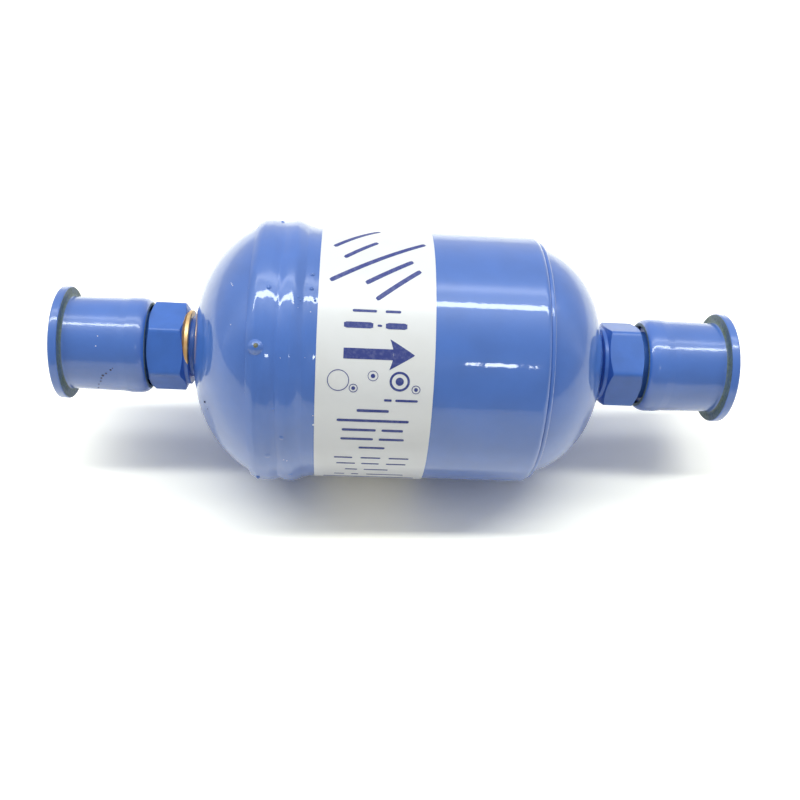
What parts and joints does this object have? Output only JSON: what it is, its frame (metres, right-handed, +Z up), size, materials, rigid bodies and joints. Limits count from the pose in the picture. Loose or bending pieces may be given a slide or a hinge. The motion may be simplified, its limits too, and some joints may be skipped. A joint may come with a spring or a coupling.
{
  "type": "filter drier",
  "caption": "Sealed steel cylinder with domed ends that filters and dries liquid in a line, with a male flare fitting and a flanged pull-off cap at each end.",
  "frame": {"origin": "on the axis of the cylinder, halfway between the outer faces of the two caps", "axes": "+X along the flow, from the inlet to the outlet; +Z up; -Y is the side that the arrow on the label faces"},
  "size_m": [0.1366, 0.0538, 0.0538],
  "materials": {
    "blue_enamel": "gloss",
    "painted_brass": "satin",
    "braze": "gloss",
    "painted_cap": "satin",
    "label": "gloss",
    "bare_steel": "satin",
    "filter_felt": "matt",
    "desiccant": "matt"
  },
  "bodies": {
    "drier": {"shell": "blue_enamel", "inlet_dome": "blue_enamel", "lap_weld": "blue_enamel", "outlet_dome": "blue_enamel", "outlet_seam": "blue_enamel", "inlet_fitting": "painted_brass", "outlet_fitting": "painted_brass", "inlet_braze_ring": "braze", "outlet_braze_ring": "braze", "label_band": "label", "inlet_diffuser": "bare_steel", "core_spring": "bare_steel", "spring_plate": "bare_steel", "inlet_filter_pad": "filter_felt", "desiccant_core": "desiccant", "core_seal_ring": "filter_felt", "outlet_plate": "bare_steel", "outlet_filter_pad": "filter_felt", "outlet_screen": "bare_steel"},
    "inlet_cap": {"inlet_cap": "painted_cap"},
    "outlet_cap": {"outlet_cap": "painted_cap"}
  },
  "joints": [
    {"name": "inlet_cap_pull", "type": "slide", "parent": "drier", "child": "inlet_cap", "axis": [-1, 0, 0], "range_m": [0, 0.06]},
    {"name": "outlet_cap_pull", "type": "slide", "parent": "drier", "child": "outlet_cap", "axis": [1, 0, 0], "range_m": [0, 0.06]}
  ]
}
